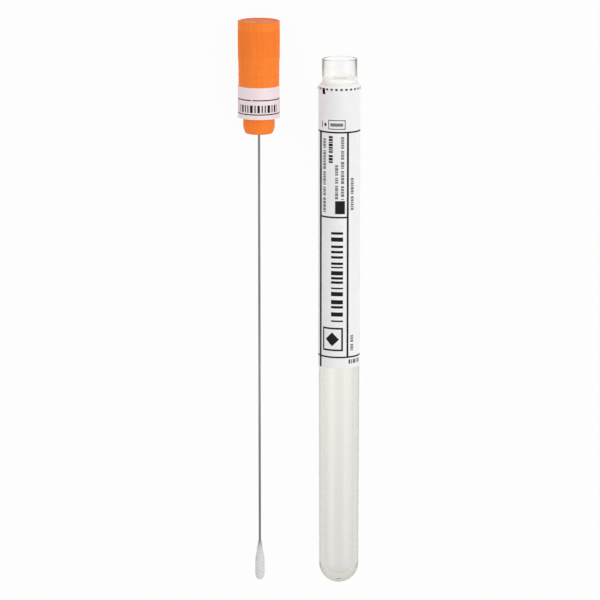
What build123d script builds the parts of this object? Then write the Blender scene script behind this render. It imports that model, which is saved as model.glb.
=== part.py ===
"""Specimen swab tube: a labelled round-bottom tube and the stoppered swab that was drawn out of it.

Both lie on a flat surface, side by side, with their axes along Y and their open or capped ends
towards +Y. Millimetres, +Z up. The origin is on the surface, under the middle of the pair.
Each piece is turned about the Y axis first, in stations along Y, and then laid in its place.
"""

from build123d import *

import os

# Tube, with depths measured from the mouth
TUBE_LENGTH = 150.0
NECK_RADIUS = 4.89
MOUTH_ROUND = 0.15
SHOULDER_START_DEPTH = 6.3
SHOULDER_END_DEPTH = 7.45
NECK_FILLET = 0.35
SHOULDER_ROUND = 0.1
BEAD_RADIUS = 5.85
BEAD_END_DEPTH = 8.15
BEAD_FOOT_DEPTH = 8.4
BODY_RADIUS = 5.7
DRAFT_START_DEPTH = 90.0
BODY_LOW_RADIUS = 5.565  # also the radius of the round bottom
BORE_RADIUS = 4.43
BORE_STRAIGHT_DEPTH = 12.0
BORE_LOW_RADIUS = 4.2  # also the radius of the bore's round end
BASE_THICKNESS = 1.9
GATE_RADIUS = 0.8
GATE_DEPTH = 0.2

# Tube label
PAPER = 0.08
LABEL_START_DEPTH = 7.55
LABEL_END_DEPTH = 86.8
LAP_START_ANGLE = 78.0  # from straight up, towards the swab
LAP_ANGLE = 20.0

# Cap, with drops measured from its top
TOP_RADIUS = 5.82
TOP_ROUND = 0.25
TOP_DROP = 2.2
DISH_RADIUS = 5.0
DISH_DEPTH = 0.2
DISH_DRAFT = 0.1
CAP_GATE_RADIUS = 0.7
CAP_GATE_HEIGHT = 0.08
GRIP_RADIUS = 5.86
GRIP_START_DROP = 2.4
FLUTE_START_DROP = 2.6
FLUTE_END_DROP = 9.8
FLUTE_COUNT = 60
FLUTE_RADIUS = 0.17
FLUTE_BITE = 0.12
COLLAR_RADIUS = 5.81
COLLAR_END_DROP = 10.3
SLEEVE_RADIUS = 5.7
SLEEVE_START_DROP = 11.7
SLEEVE_LOW_RADIUS = 5.66
SLEEVE_LOW_DROP = 17.5
SLEEVE_END_DROP = 26.75
SLEEVE_BORE_RADIUS = 5.0
GROOVE_DEPTH = 7.1
RING_DROPS = (12.65, 15.15)
RING_HEIGHT = 0.06
RING_WIDTH = 0.3
PLUG_RADIUS = 4.4
PLUG_STRAIGHT_DROP = 29.7
PLUG_END_DROP = 31.5
PLUG_NOSE_RADIUS = 3.85
PLUG_SHOULDER_ROUND = 0.8
PLUG_END_ROUND = 0.6

# Seal band round the cap
BAND_START_DROP = 18.1
BAND_FLARE_DROP = 26.2
BAND_END_DROP = 26.95
BAND_FLARE = 0.1

# Stick and fibre tip
STICK_RADIUS = 0.325
STICK_HOLD = 12.0  # length held in the plug
TIP_START_DROP = 148.7
TIP_END_DROP = 160.15
TIP_RADIUS = 1.33
TIP_NECK_RADIUS = 0.4
TIP_TAPER = 5.9
TIP_NOSE = 1.7
TIP_COVER = 2.0  # fibre beyond the stick's end

# The pair as it lies
CAP_LEAD = 10.6  # how far the cap's top lies beyond the tube's mouth
AXIS_SPACING = 22.4
TUBE_HEIGHT = BEAD_RADIUS + PAPER  # of the axis, and also the largest radius
SWAB_HEIGHT = GRIP_RADIUS
PAIR_LENGTH = TUBE_LENGTH + CAP_LEAD
PAIR_WIDTH = AXIS_SPACING + TUBE_HEIGHT + SWAB_HEIGHT
MOUTH_Y = PAIR_LENGTH / 2 - CAP_LEAD
CAP_TOP_Y = PAIR_LENGTH / 2
TUBE_X = PAIR_WIDTH / 2 - TUBE_HEIGHT
SWAB_X = SWAB_HEIGHT - PAIR_WIDTH / 2


def turned(outline):
    """A solid of revolution about Y from edges of (radius, station) that close on themselves."""
    return revolve(make_face(Curve() + outline), axis=Axis.Y)


def chain(*points):
    """Straight edges from point to point."""
    return [Line(start, end) for start, end in zip(points[:-1], points[1:])]


def on_lower_circle(radius, station, x):
    """The lower point at distance x from the axis on a circle centred on it."""
    return (x, station - (radius**2 - x**2) ** 0.5)


def make_tube():
    """The clear tube: neck, sloped shoulder, bead, drafted body, round bottom and gate recess."""
    mouth = MOUTH_Y
    bottom_centre = mouth - TUBE_LENGTH + (BODY_LOW_RADIUS**2 - GATE_RADIUS**2) ** 0.5
    bore_centre = mouth - TUBE_LENGTH + BASE_THICKNESS + BORE_LOW_RADIUS
    gate_rim = on_lower_circle(BODY_LOW_RADIUS, bottom_centre, GATE_RADIUS)
    gate_floor = gate_rim[1] + GATE_DEPTH
    bore_pole = (0, bore_centre - BORE_LOW_RADIUS)
    half = 0.5**0.5

    bottom = [
        *chain(bore_pole, (0, gate_floor), (GATE_RADIUS, gate_floor), gate_rim),
        ThreePointArc(
            gate_rim,
            on_lower_circle(BODY_LOW_RADIUS, bottom_centre, BODY_LOW_RADIUS * half),
            (BODY_LOW_RADIUS, bottom_centre),
        ),
    ]
    wall = FilletPolyline(
        (BODY_LOW_RADIUS, bottom_centre),
        (BODY_RADIUS, mouth - DRAFT_START_DEPTH),
        (BODY_RADIUS, mouth - BEAD_FOOT_DEPTH),
        (BEAD_RADIUS, mouth - BEAD_END_DEPTH),
        (BEAD_RADIUS, mouth - SHOULDER_END_DEPTH),
        (NECK_RADIUS, mouth - SHOULDER_START_DEPTH),
        (NECK_RADIUS, mouth),
        (BORE_RADIUS, mouth),
        (BORE_RADIUS, mouth - BORE_STRAIGHT_DEPTH),
        (BORE_LOW_RADIUS, bore_centre),
        radius=[0, 0, 0, SHOULDER_ROUND, NECK_FILLET, MOUTH_ROUND, MOUTH_ROUND, 0],
    )
    bore_end = ThreePointArc(
        (BORE_LOW_RADIUS, bore_centre),
        on_lower_circle(BORE_LOW_RADIUS, bore_centre, BORE_LOW_RADIUS * half),
        bore_pole,
    )
    return turned([*bottom, *wall.edges(), bore_end])


def make_tube_label():
    """The paper label: one full wrap from the bead down, with its ends lapped on the swab's side."""
    # The section plane is turned about Y from +X, past +Z, to the lap's first edge.
    lap_section = Rot(0, -(90.0 + LAP_START_ANGLE), 0) * label_section(PAPER)
    lap = revolve(lap_section, axis=Axis.Y, revolution_arc=-LAP_ANGLE)
    return revolve(label_section(0), axis=Axis.Y) + lap


def label_section(lift):
    """The label's section, which follows the bead and the body at the given lift above them."""
    line = [
        (BEAD_RADIUS + lift, MOUTH_Y - LABEL_START_DEPTH),
        (BEAD_RADIUS + lift, MOUTH_Y - BEAD_END_DEPTH),
        (BODY_RADIUS + lift, MOUTH_Y - BEAD_FOOT_DEPTH),
        (BODY_RADIUS + lift, MOUTH_Y - LABEL_END_DEPTH),
    ]
    outer = [(x + PAPER, y) for x, y in reversed(line)]
    return make_face(Polyline(*line, *outer, close=True))


def make_cap():
    """The moulded cap: dished top, fluted grip, ringed sleeve and the stopper plug inside it."""
    top = CAP_TOP_Y
    dish_floor = top - DISH_DEPTH
    gate_face = dish_floor + CAP_GATE_HEIGHT
    sleeve_end = top - SLEEVE_END_DROP
    groove_floor = sleeve_end + GROOVE_DEPTH
    plug_end = top - PLUG_END_DROP
    stick_end = plug_end + STICK_HOLD

    outline = FilletPolyline(
        (0, gate_face),
        (CAP_GATE_RADIUS, gate_face),
        (CAP_GATE_RADIUS, dish_floor),
        (DISH_RADIUS - DISH_DRAFT, dish_floor),
        (DISH_RADIUS, top),
        (TOP_RADIUS, top),
        (TOP_RADIUS, top - TOP_DROP),
        (GRIP_RADIUS, top - GRIP_START_DROP),
        (COLLAR_RADIUS, top - FLUTE_END_DROP),
        (COLLAR_RADIUS, top - COLLAR_END_DROP),
        (SLEEVE_RADIUS, top - SLEEVE_START_DROP),
        (SLEEVE_LOW_RADIUS, top - SLEEVE_LOW_DROP),
        (SLEEVE_LOW_RADIUS, sleeve_end),
        (SLEEVE_BORE_RADIUS, sleeve_end),
        (SLEEVE_BORE_RADIUS, groove_floor),
        (PLUG_RADIUS, groove_floor),
        (PLUG_RADIUS, top - PLUG_STRAIGHT_DROP),
        (PLUG_NOSE_RADIUS, plug_end),
        (STICK_RADIUS, plug_end),
        (STICK_RADIUS, stick_end),
        (0, stick_end),
        radius=[0, 0, 0, TOP_ROUND, TOP_ROUND, *[0] * 10, PLUG_SHOULDER_ROUND, PLUG_END_ROUND, 0, 0],
    )
    cap = turned([*outline.edges(), Line((0, stick_end), (0, gate_face))])
    for drop in RING_DROPS:
        cap += make_ring(top - drop)
    return cap - make_flutes()


def make_ring(station):
    """One fine raised ring round the sleeve, a low arc in section on a root inside the wall."""
    low = (SLEEVE_LOW_RADIUS, station - RING_WIDTH / 2)
    high = (SLEEVE_LOW_RADIUS, station + RING_WIDTH / 2)
    crest = (SLEEVE_RADIUS + RING_HEIGHT, station)
    root = SLEEVE_LOW_RADIUS - RING_HEIGHT
    return turned([ThreePointArc(low, crest, high), *chain(high, (root, high[1]), (root, low[1]), low)])


def make_flutes():
    """The cutters for the grip's fine flutes, evenly round the cap."""
    length = FLUTE_END_DROP - FLUTE_START_DROP
    middle = CAP_TOP_Y - (FLUTE_START_DROP + FLUTE_END_DROP) / 2
    centre = GRIP_RADIUS + FLUTE_RADIUS - FLUTE_BITE
    cutter = Pos(centre, middle, 0) * (Rot(90, 0, 0) * Cylinder(FLUTE_RADIUS, length))
    return [Rot(0, i * 360 / FLUTE_COUNT, 0) * cutter for i in range(FLUTE_COUNT)]


def make_seal_band():
    """The torn-off end of the label, round the cap's sleeve and slightly flared at its torn edge."""
    start = CAP_TOP_Y - BAND_START_DROP
    flare = CAP_TOP_Y - BAND_FLARE_DROP
    end = CAP_TOP_Y - BAND_END_DROP
    inner = SLEEVE_LOW_RADIUS
    line = [(inner, start), (inner, flare), (inner + BAND_FLARE, end)]
    outer = [(x + PAPER, y) for x, y in reversed(line)]
    return turned(chain(*line, *outer, line[0]))


def make_stick():
    """The straight wire, from its blind hole in the plug to inside the fibre tip."""
    start = CAP_TOP_Y - PLUG_END_DROP + STICK_HOLD
    end = CAP_TOP_Y - TIP_END_DROP + TIP_COVER
    return Pos(0, (start + end) / 2, 0) * (Rot(90, 0, 0) * Cylinder(STICK_RADIUS, start - end))


def make_fibre_tip():
    """The wound fibre bud, a slim teardrop that the stick runs into."""
    start = CAP_TOP_Y - TIP_START_DROP
    full = start - TIP_TAPER
    pole = CAP_TOP_Y - TIP_END_DROP
    nose_start = pole + TIP_NOSE
    stick_end = pole + TIP_COVER
    middle = ((TIP_NECK_RADIUS + TIP_RADIUS) / 2, (start + full) / 2)
    return turned(
        [
            Spline((TIP_NECK_RADIUS, start), middle, (TIP_RADIUS, full), tangents=((0.15, -1), (0, -1))),
            Line((TIP_RADIUS, full), (TIP_RADIUS, nose_start)),
            Spline((TIP_RADIUS, nose_start), (0, pole), tangents=((0, -1), (-1, 0))),
            *chain(
                (0, pole),
                (0, stick_end),
                (STICK_RADIUS, stick_end),
                (STICK_RADIUS, start),
                (TIP_NECK_RADIUS, start),
            ),
        ]
    )


def main():
    """Lays every piece in its place and writes it."""
    os.makedirs("parts", exist_ok=True)
    tube_place = Pos(TUBE_X, 0, TUBE_HEIGHT)
    swab_place = Pos(SWAB_X, 0, SWAB_HEIGHT)
    pieces = {
        "tube": tube_place * make_tube(),
        "tube_label": tube_place * make_tube_label(),
        "cap": swab_place * make_cap(),
        "seal_band": swab_place * make_seal_band(),
        "wire_stick": swab_place * make_stick(),
        "fibre_tip": swab_place * make_fibre_tip(),
    }
    for name, piece in pieces.items():
        export_step(piece, f"parts/{name}.step")


main()
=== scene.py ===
"""Specimen swab tube, dressed: a clear labelled tube and the stoppered swab drawn out of it.

Both lie along Y with the mouth and the cap towards +Y. Each piece is shaped in millimetres about
its own axis, with stations given as drops from the tube's mouth or the cap's top and angles given
from straight up, positive towards +X. It is then laid in the frame, in metres.
"""

import logging
import math
import random
from dataclasses import dataclass, replace
from enum import Enum

import bmesh
import bpy
from mathutils import Matrix, Vector, noise


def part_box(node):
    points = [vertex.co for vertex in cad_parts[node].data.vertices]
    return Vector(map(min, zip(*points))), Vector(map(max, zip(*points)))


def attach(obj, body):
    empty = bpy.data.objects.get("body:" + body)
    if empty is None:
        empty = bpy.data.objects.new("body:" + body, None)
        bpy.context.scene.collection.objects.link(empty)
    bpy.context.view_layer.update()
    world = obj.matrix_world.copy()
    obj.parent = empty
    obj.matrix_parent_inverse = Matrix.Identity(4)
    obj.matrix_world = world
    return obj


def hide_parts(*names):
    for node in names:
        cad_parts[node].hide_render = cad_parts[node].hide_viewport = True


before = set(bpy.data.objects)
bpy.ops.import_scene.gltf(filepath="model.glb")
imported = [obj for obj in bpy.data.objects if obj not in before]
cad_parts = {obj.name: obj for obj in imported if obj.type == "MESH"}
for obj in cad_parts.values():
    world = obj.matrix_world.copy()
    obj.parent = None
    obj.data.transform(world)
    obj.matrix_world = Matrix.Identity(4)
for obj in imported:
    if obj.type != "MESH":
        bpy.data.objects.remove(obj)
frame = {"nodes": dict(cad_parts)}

LOG = logging.getLogger("swab_tube")
MILLIMETRE = 0.001
FULL_TURN = 360.0
# Lengths and gaps in millimetres; a group is the fewest and the most bars in it.
MERGE_DISTANCE = 0.0005
PRINT_LENGTHS = (0.34, 0.5, 0.62, 0.78)
PRINT_GROUP = (3, 7)
PRINT_GAP = 0.17
PRINT_GROUP_GAP = 0.42
PRINT_LEAST = 0.2
STRIP_LENGTHS = (0.45, 0.7, 0.7, 1.2)
STRIP_GAPS = (0.5, 0.8, 1.1)
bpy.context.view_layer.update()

Pair = tuple[float, float]
Triple = tuple[float, float, float]
Shell = bmesh.types.BMesh
Faces = list[bmesh.types.BMFace]
Material = bpy.types.Material
Piece = bpy.types.Object
Node = bpy.types.Node
Socket = bpy.types.NodeSocket


class Body(Enum):
    """The two bodies of the pair, by their names in the frame."""

    TUBE = "tube_body"
    SWAB = "swab"


class Tone(Enum):
    """What a patch of a wrapped paper shows, in the order of the paper's material slots."""

    PAPER = 0
    BLACK_INK = 1
    GREY_INK = 2


@dataclass(frozen=True)
class Datum:
    """The point on a piece's axis from which its drops are measured, in metres."""

    x: float
    y: float
    z: float

    @classmethod
    def at_end_of(cls, node: str) -> "Datum":
        """Finds the datum at the +Y end of a turned node's axis."""
        low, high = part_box(node)
        return cls((low.x + high.x) / 2, high.y, (low.z + high.z) / 2)

    def placement(self) -> Matrix:
        """Gives the matrix from millimetres about the datum to metres in the frame."""
        return Matrix.Translation((self.x, self.y, self.z)) @ Matrix.Scale(MILLIMETRE, 4)

    def height_of(self, drop: float) -> float:
        """Gives how far along Y a drop below the datum lies, in metres."""
        return self.y - drop * MILLIMETRE


@dataclass(frozen=True)
class Corner:
    """One corner of a turned outline, in millimetres."""

    radius: float
    drop: float
    rounding: float = 0.0


def progress(value: float, start: float, end: float) -> float:
    """Gives how far a value has come from start to end, held between 0 and 1."""
    return min(max((value - start) / (end - start), 0.0), 1.0)


def arc(centre_drop: float, radius: float, start: float, end: float, steps: int) -> list[Corner]:
    """Makes the corners of an arc centred on the axis.

    Args:
        centre_drop: The drop of the arc's centre.
        radius: The arc's radius.
        start: The first angle in degrees, from 0 at the axis below the centre to 90 at its side.
        end: The last angle in degrees.
        steps: The number of equal steps between them.

    Returns:
        The corners from start to end.
    """
    corners = []
    for step in range(steps + 1):
        angle = math.radians(start + (end - start) * step / steps)
        corners.append(Corner(radius * math.sin(angle), centre_drop + radius * math.cos(angle)))
    return corners


def rounded(corners: list[Corner], steps: int = 5) -> list[Vector]:
    """Turns corners into the points of a half section, with arcs at the rounded ones.

    Args:
        corners: The corners in order.
        steps: The number of steps in each rounding.

    Returns:
        The points in the XY plane, with the radius along X and the drop along -Y.
    """
    places = [Vector((corner.radius, -corner.drop)) for corner in corners]
    points = []
    for index, corner in enumerate(corners):
        here = places[index]
        if not corner.rounding:
            points.append(here.to_3d())
            continue
        back = (places[index - 1] - here).normalized()
        ahead = (places[index + 1] - here).normalized()
        half = back.angle(ahead) / 2
        centre = here + (back + ahead).normalized() * corner.rounding / math.sin(half)
        reach = corner.rounding / math.tan(half)
        spoke = here + back * reach - centre
        turn = spoke.angle_signed(here + ahead * reach - centre)
        for step in range(steps + 1):
            points.append((centre + Matrix.Rotation(-turn * step / steps, 2) @ spoke).to_3d())
    return points


def spin_outline(points: list[Vector], steps: int) -> Shell:
    """Spins a half section round the Y axis into a closed shell.

    Args:
        points: The half section's points, with x as the radius.
        steps: The number of steps in the full turn.

    Returns:
        The shell, with its poles closed and its faces pointing outwards.
    """
    shell = bmesh.new()
    verts = [shell.verts.new(point) for point in points]
    edges = [shell.edges.new(pair) for pair in zip(verts[:-1], verts[1:])]
    bmesh.ops.spin(
        shell,
        geom=verts + edges,
        cent=(0, 0, 0),
        axis=(0, 1, 0),
        angle=math.tau,
        steps=steps,
        use_merge=True,
    )
    bmesh.ops.remove_doubles(shell, verts=shell.verts, dist=MERGE_DISTANCE)
    bmesh.ops.recalc_face_normals(shell, faces=shell.faces)
    return shell


def add_object(name: str, data: bpy.types.ID) -> Piece:
    """Makes an object and puts it in the scene.

    Args:
        name: The object's name.
        data: Its mesh, lamp or camera.

    Returns:
        The object.
    """
    added = bpy.data.objects.new(name, data)
    bpy.context.scene.collection.objects.link(added)
    return added


def finish_piece(
    shell: Shell,
    name: str,
    datum: Datum,
    body: Body,
    materials: list[Material],
    crease: float = 30.0,
) -> Piece:
    """Lays a shaped mesh in the frame as a finished piece.

    Args:
        shell: The mesh, in millimetres about its datum. It is freed.
        name: The piece's name.
        datum: Where it lies.
        body: The body it rides on.
        materials: The materials, in the order of the mesh's material indices.
        crease: The angle in degrees above which an edge stays sharp.

    Returns:
        The piece's object.
    """
    limit = math.radians(crease)
    for face in shell.faces:
        face.smooth = True
    for edge in shell.edges:
        edge.smooth = edge.calc_face_angle(0.0) < limit
    shell.transform(datum.placement())
    mesh = bpy.data.meshes.new(name)
    shell.to_mesh(mesh)
    shell.free()
    for material in materials:
        mesh.materials.append(material)
    piece = add_object(name, mesh)
    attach(piece, body.value)
    return piece


@dataclass(frozen=True)
class Grain:
    """A noise that a finish varies by, with its scale per metre and its lean in radians."""

    scale: float
    detail: float = 3.0
    roughness: float = 0.5
    stretch: Triple = (1.0, 1.0, 1.0)
    lean: float = 0.0


class NodeSheet:
    """The node tree of a material or of the world, with short calls to add and join nodes."""

    def __init__(self, holder: Material | bpy.types.World, output: str = "OutputMaterial") -> None:
        """Clears the holder's tree and gives it an output.

        Args:
            holder: The material or world.
            output: The output node's type, without its ShaderNode prefix.
        """
        self.holder = holder
        holder.use_nodes = True
        self.tree = holder.node_tree
        self.tree.nodes.clear()
        self.output = self.tree.nodes.new("ShaderNode" + output)

    def add(self, kind: str, *first: object, **named: object) -> Node:
        """Adds a node.

        Args:
            kind: The node's type, without its ShaderNode prefix.
            first: What its first inputs are fed, in order.
            named: What other inputs are fed, by name, with underscores for spaces.

        Returns:
            The node.
        """
        node = self.tree.nodes.new("ShaderNode" + kind)
        for place, given in enumerate(first):
            self.feed(node, place, given)
        for name, given in named.items():
            self.feed(node, name.replace("_", " "), given)
        return node

    def feed(self, node: Node, place: str | int, given: object) -> None:
        """Feeds an input.

        Args:
            node: The node with the input.
            place: The input's name or number.
            given: Its value, the output socket to join it to, or the shader to join it to.
        """
        socket = node.inputs[place]
        if isinstance(given, Node):
            given = given.outputs[0]
        if isinstance(given, Socket):
            self.tree.links.new(given, socket)
        else:
            socket.default_value = given

    def height_along(self) -> Socket:
        """Gives how far along the pieces' direction a point lies, in metres."""
        where = self.add("TexCoord")
        return self.add("SeparateXYZ", Vector=where.outputs["Object"]).outputs["Y"]

    def cloud(self, grain: Grain) -> Socket:
        """Adds a noise on object coordinates.

        Args:
            grain: The noise's scale, octaves, stretch and lean.

        Returns:
            The noise's factor.
        """
        where = self.add(
            "Mapping",
            Vector=self.add("TexCoord").outputs["Object"],
            Rotation=(0.0, 0.0, grain.lean),
            Scale=grain.stretch,
        )
        texture = self.add(
            "TexNoise",
            Vector=where.outputs["Vector"],
            Scale=grain.scale,
            Detail=grain.detail,
            Roughness=grain.roughness,
        )
        return texture.outputs["Fac"]

    def span(
        self, value: Socket, low: float, high: float, start: float = 0.3, end: float = 0.7
    ) -> Socket:
        """Maps a factor from start..end to low..high.

        Args:
            value: The factor.
            low: The value given at start.
            high: The value given at end.
            start: The factor that maps to low.
            end: The factor that maps to high.

        Returns:
            The mapped value.
        """
        node = self.add(
            "MapRange", Value=value, From_Min=start, From_Max=end, To_Min=low, To_Max=high
        )
        return node.outputs["Result"]

    def vary(self, grain: Socket, middle: float, share: float) -> Socket:
        """Varies a value by a noise, up to a share of it each way."""
        return self.span(grain, middle * (1.0 - share), middle * (1.0 + share))

    def blend(self, factor: Socket, first: object, second: object) -> Socket:
        """Mixes two colours by a factor.

        Args:
            factor: The factor.
            first: The colour at 0, or its output socket.
            second: The colour at 1, or its output socket.

        Returns:
            The mixed colour.
        """
        node = self.add("Mix", factor)
        node.data_type = "RGBA"
        for place, colour in ((6, first), (7, second)):
            self.feed(node, place, (*colour, 1.0) if isinstance(colour, tuple) else colour)
        return node.outputs[2]

    def mottle(self, grain: Socket, shade: Triple, light: Triple, *reach: float) -> Socket:
        """Mixes a shade and a light colour by a noise, over a reach of it if one is given."""
        return self.blend(self.span(grain, 0.0, 1.0, *reach), shade, light)

    def bump(self, height: Socket, depth: float, under: Socket | None = None) -> Socket:
        """Adds a bump from a height of 0..1.

        Args:
            height: The height.
            depth: The depth in metres that a height of 1 stands for.
            under: The normal of a coarser bump, or None.

        Returns:
            The normal.
        """
        node = self.add("Bump", Height=height, Distance=depth, Strength=1.0)
        if under is not None:
            self.feed(node, "Normal", under)
        return node.outputs["Normal"]

    def reckon(self, operation: str, first: object, second: object) -> Socket:
        """Adds a math node.

        Args:
            operation: Its operation.
            first: Its first value or output socket.
            second: Its second value or output socket.

        Returns:
            The result.
        """
        node = self.add("Math", first, second)
        node.operation = operation
        return node.outputs[0]

    def seen_directly(self) -> Socket:
        """Finds what the camera sees, straight or in a gloss or through something clear.

        Returns:
            A value of 1 for that, else 0.
        """
        ray = self.add("LightPath").outputs
        straight_or_gloss = self.reckon("MAXIMUM", ray["Is Camera Ray"], ray["Is Glossy Ray"])
        return self.reckon("MAXIMUM", straight_or_gloss, ray["Is Transmission Ray"])

    def let_lamps_through(self, shader: Node, share: Triple) -> Node:
        """Lets a share of the lamps' red, green and blue light pass through each face."""
        clear = self.add("BsdfTransparent", Color=(*share, 1.0))
        return self.add("MixShader", self.add("LightPath").outputs["Is Shadow Ray"], shader, clear)

    def close(self, surface: Node, volume: Node | None = None) -> Material | bpy.types.World:
        """Joins the surface and the volume to the output.

        Args:
            surface: The surface's shader.
            volume: The volume's shader, or None.

        Returns:
            The holder.
        """
        self.feed(self.output, "Surface", surface)
        if volume is not None:
            self.feed(self.output, "Volume", volume)
        return self.holder


@dataclass(frozen=True)
class ClearPlastic:
    """Clear moulded plastic, greyer towards its closed end, hazy under stuck paper, with flow
    lines.
    """

    closed_end: float
    haze_end: float
    haze_start: float
    haze_reach: float = 0.003
    haze_clearness: float = 0.04
    clearness: float = 1.0
    closed_end_colour: Triple = (0.911, 0.903, 0.922)
    open_end_colour: Triple = (1.0, 0.996, 1.0)
    index: float = 1.49
    mirror: Triple = (0.4, 0.4, 0.4)
    roughness: float = 0.14
    unevenness: float = 0.15
    tint: Triple = (0.785, 0.787, 0.69)
    density: float = 260.0
    light_through: Triple = (0.97, 0.97, 0.955)
    smears: Grain = Grain(160.0, stretch=(1.0, 0.012, 1.0))
    flow: Grain = Grain(900.0, 4.0, stretch=(1.0, 0.012, 1.0))
    flow_depth: float = 0.000003

    def make(self) -> Material:
        """Builds the material.

        Returns:
            The material.
        """
        sheet = NodeSheet(bpy.data.materials.new("clear_plastic"))
        height = sheet.height_along()
        above = sheet.reckon("SUBTRACT", height, self.haze_start)
        below = sheet.reckon("SUBTRACT", self.haze_end, height)
        away = sheet.reckon("MAXIMUM", above, below)
        clearness = sheet.span(away, self.haze_clearness, self.clearness, 0.0, self.haze_reach)
        # The base colour greys from the body's upper part towards the closed end.
        towards_open_end = sheet.span(height, 0.0, 1.0, self.closed_end, self.haze_end)
        glass = sheet.add(
            "BsdfPrincipled",
            Base_Color=sheet.blend(towards_open_end, self.closed_end_colour, self.open_end_colour),
            IOR=self.index,
            Specular_Tint=(*self.mirror, 1.0),
            Transmission_Weight=clearness,
            Roughness=sheet.vary(sheet.cloud(self.smears), self.roughness, self.unevenness),
            Normal=sheet.bump(sheet.cloud(self.flow), self.flow_depth),
        )
        depth = sheet.add("VolumeAbsorption", Color=(*self.tint, 1.0), Density=self.density)
        return sheet.close(sheet.let_lamps_through(glass, self.light_through), depth)


@dataclass(frozen=True)
class OrangePlastic:
    """Satin orange moulding with fine drawn streaks along the axis."""

    shade: Triple = (0.885, 0.200, 0.022)
    light: Triple = (0.920, 0.232, 0.034)
    index: float = 1.49
    roughness: float = 0.45
    unevenness: float = 0.15
    gloss: float = 0.05
    skin: float = 0.08
    skin_roughness: float = 0.12
    streaks: Grain = Grain(2600.0, 2.0, stretch=(1.0, 0.04, 1.0))
    streak_depth: float = 0.0000025
    grain: Grain = Grain(5200.0, 2.0)
    grain_depth: float = 0.000004

    def make(self) -> Material:
        """Builds the material.

        Returns:
            The material.
        """
        sheet = NodeSheet(bpy.data.materials.new("orange_plastic"))
        streaks = sheet.cloud(self.streaks)
        grain = sheet.cloud(self.grain)
        body = sheet.add(
            "BsdfPrincipled",
            Base_Color=sheet.mottle(streaks, self.shade, self.light),
            IOR=self.index,
            Specular_IOR_Level=self.gloss,
            Coat_Weight=self.skin,
            Coat_Roughness=self.skin_roughness,
            Roughness=sheet.vary(grain, self.roughness, self.unevenness),
            Normal=sheet.bump(grain, self.grain_depth, sheet.bump(streaks, self.streak_depth)),
        )
        return sheet.close(body)


@dataclass(frozen=True)
class Ink:
    """Printing ink that lies a little unevenly on the paper."""

    name: str
    thin: Triple
    full: Triple
    index: float = 1.45
    thin_roughness: float = 0.6325
    full_roughness: float = 0.495
    gloss: float = 0.04
    cover: Grain = Grain(2400.0, 4.0, 0.6)
    cover_depth: float = 0.000003

    def make(self) -> Material:
        """Builds the material.

        Returns:
            The material.
        """
        sheet = NodeSheet(bpy.data.materials.new(self.name))
        cover = sheet.cloud(self.cover)
        body = sheet.add(
            "BsdfPrincipled",
            Base_Color=sheet.mottle(cover, self.thin, self.full),
            IOR=self.index,
            Specular_IOR_Level=self.gloss,
            Roughness=sheet.span(cover, self.thin_roughness, self.full_roughness),
            Normal=sheet.bump(cover, self.cover_depth),
        )
        return sheet.close(body)


@dataclass(frozen=True)
class Paper:
    """Smooth calendered label paper with a faint cloudiness and fibre grain."""

    name: str
    shade: Triple
    light: Triple
    index: float = 1.45
    roughness: float = 0.5
    unevenness: float = 0.1
    gloss: float = 0.15
    softness: float = 0.15
    soft_reach: float = 0.0004
    light_through: Triple = (0.95, 0.95, 0.95)
    clouds: Grain = Grain(260.0, 4.0, 0.6)
    fibres: Grain = Grain(6500.0, stretch=(1.0, 0.5, 1.0))
    fibre_depth: float = 0.000005

    def make(self) -> Material:
        """Builds the material.

        Returns:
            The material.
        """
        sheet = NodeSheet(bpy.data.materials.new(self.name))
        fibres = sheet.cloud(self.fibres)
        body = sheet.add(
            "BsdfPrincipled",
            Base_Color=sheet.mottle(sheet.cloud(self.clouds), self.shade, self.light),
            IOR=self.index,
            Specular_IOR_Level=self.gloss,
            Subsurface_Weight=self.softness,
            Subsurface_Radius=(1.0, 1.0, 1.0),
            Subsurface_Scale=self.soft_reach,
            Roughness=sheet.vary(fibres, self.roughness, self.unevenness),
            Normal=sheet.bump(fibres, self.fibre_depth),
        )
        return sheet.close(sheet.let_lamps_through(body, self.light_through))

    def tones(self) -> list[Material]:
        """Builds the materials of the printed paper, in the order of its tones.

        Returns:
            The paper, the black ink and the grey ink.
        """
        black = Ink(self.name + "_black_ink", (0.022, 0.020, 0.020), (0.010, 0.009, 0.009))
        grey = Ink(self.name + "_grey_ink", (0.24, 0.235, 0.235), (0.16, 0.157, 0.157))
        return [self.make(), black.make(), grey.make()]


@dataclass(frozen=True)
class DrawnWire:
    """Dull drawn wire with long die marks, its dark colour a painted dark reflection, varied in
    long patches.
    """

    # Painted reflection: shade and light stand for the dark surroundings the wire would mirror,
    # not the metal's own colour.
    shade: Triple = (0.12, 0.12, 0.12)
    light: Triple = (0.23, 0.23, 0.225)
    roughness: float = 0.34
    unevenness: float = 0.2
    painted_reflection_patches: Grain = Grain(22.0)
    marks: Grain = Grain(9000.0, stretch=(1.0, 0.02, 1.0))
    mark_depth: float = 0.000004

    def make(self) -> Material:
        """Builds the material.

        Returns:
            The material.
        """
        sheet = NodeSheet(bpy.data.materials.new("drawn_wire"))
        marks = sheet.cloud(self.marks)
        body = sheet.add(
            "BsdfPrincipled",
            # Painted reflection, darker and lighter in long patches along the wire.
            Base_Color=sheet.mottle(sheet.cloud(self.painted_reflection_patches), self.shade, self.light),
            Metallic=1.0,
            Roughness=sheet.vary(marks, self.roughness, self.unevenness),
            Normal=sheet.bump(marks, self.mark_depth),
        )
        return sheet.close(body)


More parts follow.
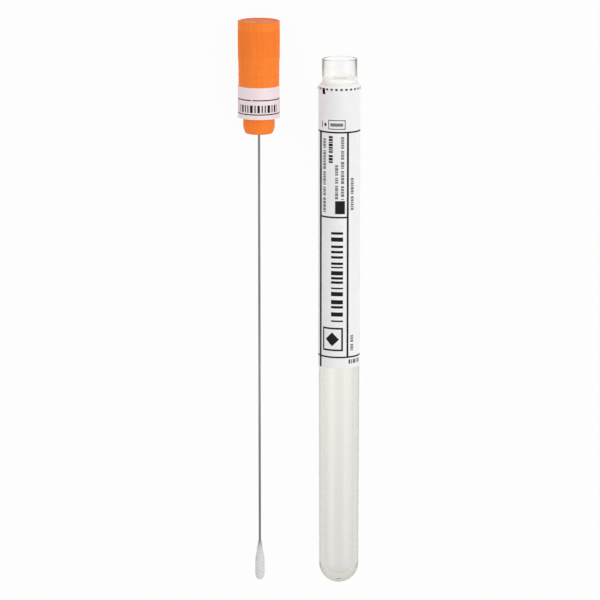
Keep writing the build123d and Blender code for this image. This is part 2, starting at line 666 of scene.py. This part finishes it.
@dataclass(frozen=True)
class WoundFibre:
    """White wound fibre, with painted shade between its windings, and grey where it is thin over
    the wire.
    """

    wire_end: float
    full_from: float
    thin: Triple = (0.30, 0.30, 0.295)
    shade: Triple = (0.55, 0.545, 0.537)
    light: Triple = (0.70, 0.695, 0.687)
    shade_reach: Pair = (0.32, 0.6)
    index: float = 1.45
    roughness: float = 0.92
    gloss: float = 0.2
    strands: Grain = Grain(3600.0, 4.0, 0.62, (0.2, 1.0, 0.2), math.radians(12.0))
    strand_depth: float = 0.00004
    wads: Grain = Grain(900.0, 2.0)
    wad_depth: float = 0.00002

    def make(self) -> Material:
        """Builds the material.

        Returns:
            The material.
        """
        sheet = NodeSheet(bpy.data.materials.new("wound_fibre"))
        strands = sheet.cloud(self.strands)
        wads = sheet.bump(sheet.cloud(self.wads), self.wad_depth)
        # Painted shade: the colour is darker where the strand bump is low, between the windings.
        full = sheet.mottle(strands, self.shade, self.light, *self.shade_reach)
        cover = sheet.span(sheet.height_along(), 0.0, 1.0, self.wire_end, self.full_from)
        body = sheet.add(
            "BsdfPrincipled",
            Base_Color=sheet.blend(cover, self.thin, full),
            IOR=self.index,
            Roughness=self.roughness,
            Specular_IOR_Level=self.gloss,
            Normal=sheet.bump(strands, self.strand_depth, wads),
        )
        return sheet.close(body)


@dataclass(frozen=True)
class WhiteTable:
    """White table top that shows as plain white, with the shadow kept faint."""

    shade: Triple = (0.68, 0.68, 0.68)
    light: Triple = (0.72, 0.72, 0.72)
    shown: float = 0.95
    grain: Grain = Grain(12.0, 4.0)

    def make(self) -> Material:
        """Builds the material.

        Returns:
            The material.
        """
        sheet = NodeSheet(bpy.data.materials.new("white_table"))
        colour = sheet.blend(sheet.cloud(self.grain), self.shade, self.light)
        matt = sheet.add("BsdfDiffuse", Color=colour)
        white = sheet.add("Emission", Color=(1.0, 1.0, 1.0, 1.0), Strength=1.0)
        share = sheet.reckon("MULTIPLY", sheet.seen_directly(), self.shown)
        return sheet.close(sheet.add("MixShader", share, matt, white))


@dataclass(frozen=True)
class Tube:
    """The clear round-bottom tube: neck, sloped shoulder, bead, drafted body and gate recess."""

    mouth: Datum
    length: float = 150.0
    neck_radius: float = 4.89
    mouth_rounding: float = 0.15
    shoulder_start: float = 6.3
    shoulder_end: float = 7.45
    neck_fillet: float = 0.35
    bead_radius: float = 5.85
    bead_end: float = 8.15
    bead_foot: float = 8.4
    bead_rounding: float = 0.1
    body_radius: float = 5.7
    draft_start: float = 90.0
    low_radius: float = 5.565
    bore_radius: float = 4.43
    bore_straight_end: float = 12.0
    bore_low_radius: float = 4.2
    base_thickness: float = 1.9
    gate_radius: float = 0.8
    gate_depth: float = 0.2
    gate_rounding: float = 0.05
    haze_start: float = 7.7
    haze_end: float = 83.5
    arc_steps: int = 28
    steps: int = 192

    def corners(self) -> list[Corner]:
        """Lists the half section's corners.

        Returns:
            The corners from the outer pole round the mouth to the bore's pole.
        """
        gate_angle = math.degrees(math.asin(self.gate_radius / self.low_radius))
        bottom_centre = self.length - math.sqrt(self.low_radius**2 - self.gate_radius**2)
        bore_centre = self.length - self.base_thickness - self.bore_low_radius
        return [
            Corner(0.0, self.length - self.gate_depth),
            Corner(self.gate_radius, self.length - self.gate_depth, self.gate_rounding),
            *arc(bottom_centre, self.low_radius, gate_angle, 90.0, self.arc_steps),
            Corner(self.body_radius, self.draft_start),
            Corner(self.body_radius, self.bead_foot),
            Corner(self.bead_radius, self.bead_end),
            Corner(self.bead_radius, self.shoulder_end, self.bead_rounding),
            Corner(self.neck_radius, self.shoulder_start, self.neck_fillet),
            Corner(self.neck_radius, 0.0, self.mouth_rounding),
            Corner(self.bore_radius, 0.0, self.mouth_rounding),
            Corner(self.bore_radius, self.bore_straight_end),
            *arc(bore_centre, self.bore_low_radius, 90.0, 0.0, self.arc_steps),
        ]

    def build(self) -> Piece:
        """Turns the tube and lays it in place.

        Returns:
            The tube's object.
        """
        shell = spin_outline(rounded(self.corners()), self.steps)
        drops = (self.length, self.haze_end, self.haze_start)
        plastic = ClearPlastic(*map(self.mouth.height_of, drops)).make()
        tube = finish_piece(shell, "clear_tube", self.mouth, Body.TUBE, [plastic])
        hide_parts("tube")
        return tube


@dataclass(frozen=True)
class Patch:
    """A printed patch of a wrapped paper: a span of angle in degrees and a span of drop."""

    left: float
    right: float
    top: float
    bottom: float
    tone: Tone = Tone.BLACK_INK

    def holds(self, angle: float, drop: float) -> bool:
        """Tells whether a point of the paper is inside the patch."""
        return self.left < angle < self.right and self.top < drop < self.bottom

    def outline(self, line: float, radius: float) -> tuple["Patch", ...]:
        """Draws the patch's outline.

        Args:
            line: The line's width in millimetres.
            radius: The paper's radius there.

        Returns:
            The outline's four sides.
        """
        side = math.degrees(line / radius)
        return (
            replace(self, bottom=self.top + line),
            replace(self, top=self.bottom - line),
            replace(self, right=self.left + side),
            replace(self, left=self.right - side),
        )


@dataclass(frozen=True)
class Panel:
    """A window of a wrapped paper with its own print, cut apart from the rest."""

    window: Patch
    patches: tuple[Patch, ...]
    diamond: float = 0.0

    @classmethod
    def solid(cls, patch: Patch) -> "Panel":
        """Makes a panel that is one solid patch."""
        return cls(patch, (patch,))

    @classmethod
    def small_print(cls, window: Patch, seed: int) -> "Panel":
        """Fills a line along the axis with plain bars, a few to a group, as small print.

        Args:
            window: The line's span, in the bars' ink.
            seed: What makes its run of bars its own.

        Returns:
            The panel.
        """
        chance = random.Random(seed)
        patches = []
        here, last = window.top, window.bottom - PRINT_LEAST
        while here < last:
            for _ in range(chance.randint(*PRINT_GROUP)):
                end = min(here + chance.choice(PRINT_LENGTHS), window.bottom)
                patches.append(replace(window, top=here, bottom=end))
                here = end + PRINT_GAP
                if here > last:
                    break
            here += PRINT_GROUP_GAP
        return cls(window, tuple(patches))

    @classmethod
    def bar_strip(cls, window: Patch, seed: int) -> "Panel":
        """Fills a strip with plain bars of a few widths, set across the axis.

        Args:
            window: The strip's span, in the bars' ink.
            seed: What makes its run of bars its own.

        Returns:
            The panel.
        """
        chance = random.Random(seed)
        patches = []
        here = window.top
        while here < window.bottom:
            end = min(here + chance.choice(STRIP_LENGTHS), window.bottom)
            patches.append(replace(window, top=here, bottom=end))
            here = end + chance.choice(STRIP_GAPS)
        return cls(window, tuple(patches))

    @classmethod
    def upright_bars(cls, window: Patch, widths: tuple[float, ...], gap: float) -> "Panel":
        """Fills a strip round the axis with upright bars.

        Args:
            window: The strip's span, in the bars' ink.
            widths: The bars' widths in degrees, used in turn.
            gap: The gap between them in degrees.

        Returns:
            The panel.
        """
        patches = []
        here = window.left
        while here < window.right:
            end = min(here + widths[len(patches) % len(widths)], window.right)
            patches.append(replace(window, left=here, right=end))
            here = end + gap
        return cls(window, tuple(patches))


def middle_of(face: bmesh.types.BMFace) -> Pair:
    """Gives the angle and the drop of the middle of a face of a flat sheet."""
    centre = face.calc_center_median()
    return centre.x, -centre.y


def cut(sheet: Shell, faces: Faces, point: Pair, across: Pair) -> Faces:
    """Cuts some faces of a flat sheet along a line.

    Args:
        sheet: The flat sheet.
        faces: The faces to cut.
        point: A point of the line, in degrees and -drop.
        across: The direction across the line.

    Returns:
        The faces that the cut left of them.
    """
    edges = {edge for face in faces for edge in face.edges}
    verts = {vert for face in faces for vert in face.verts}
    parts = bmesh.ops.bisect_plane(
        sheet,
        geom=[*verts, *edges, *faces],
        dist=MERGE_DISTANCE,
        plane_co=(*point, 0.0),
        plane_no=(*across, 0.0),
    )
    return [part for part in parts["geom"] if isinstance(part, bmesh.types.BMFace)]


def cut_round(sheet: Shell, faces: Faces, patches: tuple[Patch, ...]) -> Faces:
    """Cuts some faces of a flat sheet along the sides of patches.

    Args:
        sheet: The flat sheet.
        faces: The faces to cut.
        patches: The patches whose sides are cut.

    Returns:
        The faces that the cuts left.
    """
    for angle in sorted({side for patch in patches for side in (patch.left, patch.right)}):
        faces = cut(sheet, faces, (angle, 0.0), (1.0, 0.0))
    for drop in sorted({side for patch in patches for side in (patch.top, patch.bottom)}):
        faces = cut(sheet, faces, (0.0, -drop), (0.0, 1.0))
    return faces


@dataclass(frozen=True)
class WrappedPaper:
    """A printed paper wrapped round an axis, with a short lap, a slope and one torn edge."""

    datum: Datum
    top: float
    bottom: float
    upper_radius: float
    lower_radius: float
    slope_start: float
    slope_end: float
    torn_drop: float
    tear_depth: float
    tear_place: Pair
    tear_pitch: float = 0.35
    thickness: float = 0.07
    lap_first: float = -98.0
    lap: float = 20.0
    lift_run: float = 4.0
    lift: float = 0.085
    column: float = 2.5
    row: float = 4.0

    @property
    def lap_last(self) -> float:
        """Gives the angle of the paper's outer end, a full turn and the lap after its first."""
        return self.lap_first + FULL_TURN + self.lap

    def panels(self) -> list[Panel]:
        """Lists the printed panels."""
        return []

    def radius_at(self, drop: float) -> float:
        """Gives the paper's outer radius at a drop."""
        rise = self.lower_radius - self.upper_radius
        return self.upper_radius + rise * progress(drop, self.slope_start, self.slope_end)

    def edge_wave(self, angle: float, drop: float) -> float:
        """Gives how far a point strays along the axis, which only the torn edge does."""
        wave = self.tear_depth * noise.noise(Vector((angle * self.tear_pitch, *self.tear_place)))
        return wave if abs(drop - self.torn_drop) < MERGE_DISTANCE else 0.0

    def flat(self) -> Shell:
        """Makes the flat sheet.

        Returns:
            The sheet, with X as the angle in degrees and -Y as the drop.
        """
        sheet = bmesh.new()
        wide = self.lap_last - self.lap_first
        high = self.bottom - self.top
        columns = round(wide / self.column)
        rows = max(2, round(high / self.row))
        bmesh.ops.create_grid(sheet, x_segments=columns, y_segments=rows, size=0.5)
        middle = (self.lap_first + wide / 2, -(self.top + self.bottom) / 2, 0.0)
        sheet.transform(Matrix.Translation(middle) @ Matrix.Diagonal((wide, high, 1.0, 1.0)))
        return sheet

    def ink_diamond(self, sheet: Shell, faces: Faces, panel: Panel) -> None:
        """Cuts a panel's diamond and inks it.

        Args:
            sheet: The flat sheet.
            faces: The panel's faces.
            panel: The panel.
        """
        window = panel.window
        middle = ((window.left + window.right) / 2, -(window.top + window.bottom) / 2)
        reach = math.degrees(panel.diamond / self.lower_radius)
        for way in ((1.0, 1.0), (1.0, -1.0), (-1.0, 1.0), (-1.0, -1.0)):
            point = (middle[0] + way[0] * reach, middle[1])
            faces = cut(sheet, faces, point, (way[0] / reach, way[1] / panel.diamond))
        for face in faces:
            centre = face.calc_center_median()
            away = abs(centre.x - middle[0]) / reach + abs(centre.y - middle[1]) / panel.diamond
            if away < 1.0:
                face.material_index = Tone.BLACK_INK.value

    def print_panel(self, sheet: Shell, panel: Panel) -> None:
        """Cuts and inks one panel.

        Args:
            sheet: The flat sheet.
            panel: The panel.
        """
        inside = [face for face in sheet.faces if panel.window.holds(*middle_of(face))]
        inside = cut_round(sheet, inside, panel.patches)
        for face in inside:
            held = [patch for patch in panel.patches if patch.holds(*middle_of(face))]
            if held:
                face.material_index = held[0].tone.value
        if panel.diamond:
            self.ink_diamond(sheet, inside, panel)

    def wrap(self, sheet: Shell) -> None:
        """Rolls the flat sheet round the axis, with the lapped end lifted over the first.

        Args:
            sheet: The flat sheet.
        """
        lap_start = self.lap_first + FULL_TURN
        for vert in sheet.verts:
            angle, drop = vert.co.x, -vert.co.y
            rise = progress(angle, lap_start - self.lift_run, lap_start)
            radius = self.radius_at(drop) + self.lift * rise * rise * (3.0 - 2.0 * rise)
            turn = math.radians(angle)
            along = -drop + self.edge_wave(angle, drop)
            vert.co = (radius * math.sin(turn), along, radius * math.cos(turn))

    def shell(self) -> Shell:
        """Prints, wraps and thickens the paper.

        Returns:
            The paper, with its outer face at its radius.
        """
        sheet = self.flat()
        panels = self.panels()
        cut_round(sheet, sheet.faces[:], tuple(panel.window for panel in panels))
        for panel in panels:
            self.print_panel(sheet, panel)
        self.wrap(sheet)
        printed = set(sheet.faces)
        sheet.normal_update()
        bmesh.ops.solidify(sheet, geom=sheet.faces[:], thickness=self.thickness)
        for face in sheet.faces:
            if face not in printed:
                face.material_index = Tone.PAPER.value
        return sheet


@dataclass(frozen=True)
class TubeLabel(WrappedPaper):
    """The tube's white label: a perforation line, ruled panels and plain bars for small print."""

    top: float = 7.55
    bottom: float = 86.8
    upper_radius: float = 5.93
    lower_radius: float = 5.78
    slope_start: float = 8.15
    slope_end: float = 8.4
    torn_drop: float = 7.55
    tear_depth: float = 0.06
    tear_place: Pair = (0.0, 7.0)
    paper: Paper = Paper("label_paper", (0.79, 0.79, 0.80), (0.83, 0.83, 0.84))
    dash: float = 6.2
    dash_pitch: float = 13.6
    dash_first: float = 4.2
    dash_foot: float = 8.2
    register_mark: Patch = Patch(-54.6, -43.4, 7.63, 9.4)
    rule: float = 0.46
    rule_drop: float = 19.65
    foot_rule_drop: float = 83.35
    divider_drop: float = 43.55
    left_line: Pair = (-70.0, -58.8)
    right_line: Pair = (20.3, 26.2)
    tick: Patch = Patch(-57.5, -54.5, 16.9, 18.7)
    dot: Patch = Patch(-47.0, -39.5, 17.4, 18.2)
    box: Patch = Patch(-33.3, 16.1, 16.4, 19.05)
    box_line: float = 0.22
    box_bar: Patch = Patch(-27.0, 9.5, 17.3, 18.2, Tone.GREY_INK)
    left_print: Patch = Patch(-51.5, -41.5, 21.7, 42.5, Tone.GREY_INK)
    bold_print: Patch = Patch(-31.5, -19.5, 20.9, 29.1)
    middle_print: Patch = Patch(-12.8, -4.2, 29.0, 38.8, Tone.GREY_INK)
    right_print: Patch = Patch(3.5, 12.4, 21.1, 38.8, Tone.GREY_INK)
    block: Patch = Patch(-12.7, 14.9, 39.1, 42.8)
    strip: Patch = Patch(-24.0, 9.8, 47.9, 73.8)
    frame: Patch = Patch(-51.5, 10.1, 75.1, 81.8)
    frame_line: float = 0.5
    diamond: float = 2.0
    upper_side_print: Patch = Patch(32.3, 42.5, 32.8, 42.4, Tone.GREY_INK)
    lower_side_print: Patch = Patch(32.0, 42.2, 77.4, 82.0, Tone.GREY_INK)
    foot_bars: Patch = Patch(27.0, 73.0, 84.3, 85.5)
    foot_bar_widths: tuple[float, ...] = (5.0, 3.4, 6.5, 3.4)
    foot_bar_gap: float = 3.6

    def perforation(self) -> Panel:
        """Makes the line of dashes along the torn upper edge.

        Returns:
            The panel.
        """
        mark = replace(self.register_mark, bottom=self.dash_foot)
        line = replace(mark, left=self.lap_first, right=self.lap_last)
        dashes = [mark]
        left = line.left + self.dash_first
        while left < line.right:
            dashes.append(replace(line, left=left, right=min(left + self.dash, line.right)))
            left += self.dash_pitch
        return Panel(line, tuple(dashes))

    def panels(self) -> list[Panel]:
        """Lists the printed panels.

        Returns:
            The panels, in the order in which they are cut.
        """
        first, last, rule, radius = self.lap_first, self.lap_last, self.rule, self.lower_radius
        (left, left_inner), (right_inner, right) = self.left_line, self.right_line
        top, foot, divider = self.rule_drop, self.foot_rule_drop, self.divider_drop
        solids = (
            Patch(first, last, top, top + rule),
            Patch(first, last, foot, foot + rule),
            Patch(left, left_inner, top + rule, self.bottom),
            Patch(right_inner, right, top + rule, foot),
            Patch(left_inner, right_inner, divider, divider + rule),
            replace(self.register_mark, top=self.dash_foot),
            self.tick,
            self.dot,
        )
        return [
            self.perforation(),
            *map(Panel.solid, solids),
            Panel(self.box, (*self.box.outline(self.box_line, radius), self.box_bar)),
            Panel.small_print(self.left_print, seed=3),
            Panel.small_print(self.bold_print, seed=5),
            Panel.small_print(self.middle_print, seed=8),
            Panel.small_print(self.right_print, seed=13),
            Panel.solid(self.block),
            Panel.bar_strip(self.strip, seed=21),
            Panel(self.frame, self.frame.outline(self.frame_line, radius), self.diamond),
            Panel.small_print(self.upper_side_print, seed=34),
            Panel.small_print(self.lower_side_print, seed=55),
            Panel.upright_bars(self.foot_bars, self.foot_bar_widths, self.foot_bar_gap),
        ]

    def build(self) -> Piece:
        """Makes the label and lays it in place.

        Returns:
            The label's object.
        """
        shell, slot, finishes = self.shell(), self.paper.name, self.paper.tones()
        label = finish_piece(shell, "printed_label", self.datum, Body.TUBE, finishes)
        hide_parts("tube_label")
        return label


@dataclass(frozen=True)
class SealBand(WrappedPaper):
    """The pale pink end of the label that tore off with the cap, flared at its torn edge."""

    top: float = 18.1
    bottom: float = 26.95
    upper_radius: float = 5.74
    lower_radius: float = 5.84
    slope_start: float = 26.2
    slope_end: float = 26.95
    torn_drop: float = 26.95
    tear_depth: float = 0.08
    tear_place: Pair = (3.0, 0.0)
    row: float = 0.7
    paper: Paper = Paper("band_paper", (0.81, 0.685, 0.71), (0.87, 0.755, 0.785))
    upper_rule: Pair = (21.42, 21.72)
    lower_rule: Pair = (25.4, 25.7)
    rule_break: Pair = (-21.5, -18.5)
    left_line: Pair = (-75.2, -72.6)
    right_line: Pair = (76.6, 79.4)
    bars: Patch = Patch(-62.0, 60.0, 22.95, 25.05)
    bar_widths: tuple[float, ...] = (3.6, 6.6, 3.6, 3.6, 8.0)
    bar_gap: float = 4.9

    def panels(self) -> list[Panel]:
        """Lists the printed panels.

        Returns:
            The panels, in the order in which they are cut.
        """
        between = (self.upper_rule[1], self.lower_rule[0])
        solids = (
            Patch(self.lap_first, self.rule_break[0], *self.upper_rule),
            Patch(self.rule_break[1], self.lap_last, *self.upper_rule),
            Patch(self.lap_first, self.lap_last, *self.lower_rule),
            Patch(*self.left_line, *between),
            Patch(*self.right_line, *between),
        )
        bars = Panel.upright_bars(self.bars, self.bar_widths, self.bar_gap)
        return [*map(Panel.solid, solids), bars]

    def build(self) -> Piece:
        """Makes the band and lays it in place.

        Returns:
            The band's object.
        """
        shell, slot, finishes = self.shell(), self.paper.name, self.paper.tones()
        band = finish_piece(shell, "torn_seal_band", self.datum, Body.SWAB, finishes)
        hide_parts("seal_band")
        return band


@dataclass(frozen=True)
class WireStick:
    """The straight wire, from inside the plug to inside the fibre."""

    cap_top: Datum
    radius: float = 0.325
    start: float = 19.5
    end: float = 158.15
    end_rounding: float = 0.05
    rounding_steps: int = 3
    steps: int = 32

    def build(self) -> Piece:
        """Turns the wire and lays it in place.

        Returns:
            The wire's object.
        """
        corners = [
            Corner(0.0, self.start),
            Corner(self.radius, self.start, self.end_rounding),
            Corner(self.radius, self.end, self.end_rounding),
            Corner(0.0, self.end),
        ]
        shell = spin_outline(rounded(corners, self.rounding_steps), self.steps)
        finish = DrawnWire().make()
        wire = finish_piece(shell, "drawn_wire", self.cap_top, Body.SWAB, [finish])
        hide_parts("wire_stick")
        return wire


@dataclass(frozen=True)
class FibreTip:
    """The wound fibre bud: a slim teardrop with leaning windings and uneven wads."""

    cap_top: Datum
    start: float = 148.7
    end: float = 160.15
    inner_radius: float = 0.2925
    neck_radius: float = 0.4
    radius: float = 1.33
    taper: float = 5.9
    taper_power: float = 1.15
    nose: float = 1.7
    wire_radius: float = 0.325
    steps: int = 96
    rings: int = 150
    windings: float = 2.0
    winding_pitch: float = 0.62
    winding_depth: float = 0.026
    winding_share: float = 0.6
    wad_scale: Pair = (1.3, 1.6)
    wad_depth: float = 0.03
    strand_scale: Pair = (2.5, 7.0)
    strand_depth: float = 0.02
    relief_run: float = 0.4
    thin_run: float = 2.6

    def radius_at(self, drop: float) -> float:
        """Gives the smooth bud's radius at a drop.

        Args:
            drop: The drop from the cap's top.

        Returns:
            The radius in millimetres.
        """
        nose_start = self.end - self.nose
        if drop > nose_start:
            return self.radius * math.sqrt(1.0 - progress(drop, nose_start, self.end) ** 2)
        left = 1.0 - progress(drop, self.start, self.start + self.taper)
        return self.neck_radius + (self.radius - self.neck_radius) * (1.0 - left**self.taper_power)

    def corners(self) -> list[Corner]:
        """Lists the half section's corners.

        Returns:
            The corners from inside the wire, close together towards the round nose.
        """
        corners = [Corner(0.0, self.start), Corner(self.inner_radius, self.start)]
        for ring in range(self.rings + 1):
            share = math.sin(ring / self.rings * math.pi / 2)
            drop = self.start + (self.end - self.start) * share
            corners.append(Corner(self.radius_at(drop), drop))
        return corners

    def relief(self, point: Vector) -> float:
        """Gives how far the windings stand out.

        Args:
            point: A point of the smooth bud.

        Returns:
            The relief there, in millimetres.
        """
        around = math.atan2(point.x, point.z)
        turns = point.y / self.winding_pitch + self.windings * around / math.tau
        across, along = self.wad_scale
        wads = noise.noise(
            Vector((math.cos(around) * across, point.y * along, math.sin(around) * across))
        )
        across, along = self.strand_scale
        strands = noise.noise(Vector((point.x * across, point.y * along, point.z * across)))
        wave = self.winding_depth * math.sin(math.tau * turns) * (self.winding_share + wads)
        return wave + self.wad_depth * wads + self.strand_depth * strands

    def build(self) -> Piece:
        """Turns the bud, works its windings and lays it in place.

        Returns:
            The bud's object.
        """
        shell = spin_outline(rounded(self.corners()), self.steps)
        shell.normal_update()
        moves = []
        for vert in shell.verts:
            away = math.hypot(vert.co.x, vert.co.z)
            held = progress(away, self.wire_radius, self.wire_radius + self.relief_run)
            moves.append((vert, vert.normal * self.relief(vert.co) * held))
        for vert, move in moves:
            vert.co += move
        drops = (self.start, self.start + self.thin_run)
        fibre = WoundFibre(*map(self.cap_top.height_of, drops)).make()
        bud = finish_piece(shell, "wound_bud", self.cap_top, Body.SWAB, [fibre], 180.0)
        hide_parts("fibre_tip")
        return bud


@dataclass(frozen=True)
class Cap:
    """The orange cap, kept as the frame has it and given its finish."""

    node: str = "cap"

    def dress(self) -> Piece:
        """Gives the cap its material.

        Returns:
            The cap's object.
        """
        cap = frame["nodes"][self.node]
        material = OrangePlastic().make()
        for held in cap.material_slots:
            held.material = material
        return cap


@dataclass(frozen=True)
class Lamp:
    """A long soft lamp over the table, aimed at the middle of the pair."""

    name: str
    lean: float
    width: float
    power: float
    length: float = 1.5
    distance: float = 1.0

    def hang(self) -> None:
        """Hangs the lamp, leaning from straight up towards +X by its angle in degrees."""
        lamp = bpy.data.lights.new(self.name, "AREA")
        lamp.shape = "RECTANGLE"
        lamp.size = self.width
        lamp.size_y = self.length
        lamp.energy = self.power
        holder = add_object(self.name, lamp)
        turn = math.radians(self.lean)
        holder.location = (self.distance * math.sin(turn), 0.0, self.distance * math.cos(turn))
        holder.rotation_euler = (0.0, turn, 0.0)


@dataclass(frozen=True)
class Studio:
    """The white table, the soft lamps, the pale room, brighter on the right, and the camera."""

    table_size: float = 4.0
    sky_left: float = 0.59
    sky_right: float = 0.70
    camera_tilt: float = 11.8
    camera_place: Triple = (0.000165, 0.2308, 1.1042)
    lens: float = 240.0
    sensor: float = 36.0
    clip: Pair = (0.05, 20.0)
    lamps: tuple[Lamp, ...] = (
        Lamp("left_softbox", lean=-48.0, width=0.65, power=3.5),
        Lamp("right_softbox", lean=54.0, width=0.95, power=6.0),
    )

    def lay_table(self) -> None:
        """Lays the table top under the pair."""
        top = bmesh.new()
        bmesh.ops.create_grid(top, x_segments=2, y_segments=2, size=self.table_size / 2)
        mesh = bpy.data.meshes.new("table_top")
        top.to_mesh(mesh)
        top.free()
        mesh.materials.append(WhiteTable().make())
        table = add_object("table_top", mesh)

    def surround(self) -> None:
        """Surrounds the table with a pale light that is white to look at."""
        world = bpy.data.worlds.new("pale_room")
        bpy.context.scene.world = world
        sheet = NodeSheet(world, "OutputWorld")
        way = sheet.add("SeparateXYZ", Vector=sheet.add("TexCoord").outputs["Generated"])
        sky = sheet.span(way.outputs["X"], self.sky_left, self.sky_right, -1.0, 1.0)
        level = sheet.reckon("MAXIMUM", sky, sheet.seen_directly())
        sheet.close(sheet.add("Background", Color=(1.0, 1.0, 1.0, 1.0), Strength=level))

    def set_camera(self) -> None:
        """Sets the camera high over the table, leaning back a little towards the mouth's end."""
        lens = bpy.data.cameras.new("camera")
        lens.lens = self.lens
        lens.sensor_width = self.sensor
        lens.clip_start, lens.clip_end = self.clip
        camera = add_object("camera", lens)
        camera.location = self.camera_place
        camera.rotation_euler = (-math.radians(self.camera_tilt), 0.0, 0.0)
        bpy.context.scene.camera = camera

    def build(self) -> None:
        """Sets up the whole studio."""
        self.lay_table()
        self.surround()
        for lamp in self.lamps:
            lamp.hang()
        self.set_camera()
        bpy.context.scene.view_settings.view_transform = "Standard"


def main() -> None:
    """Builds every piece in order, reports each, and sets up the studio round them."""
    logging.basicConfig(level=logging.INFO, format="%(name)s: %(message)s")
    mouth = Datum.at_end_of("tube")
    cap_top = Datum.at_end_of("cap")
    pieces = (
        Tube(mouth).build(),
        TubeLabel(mouth).build(),
        Cap().dress(),
        SealBand(cap_top).build(),
        WireStick(cap_top).build(),
        FibreTip(cap_top).build(),
    )
    for piece in pieces:
        LOG.info("%s: %d faces", piece.name, len(piece.data.polygons))
    Studio().build()


if __name__ == "__main__":
    main()
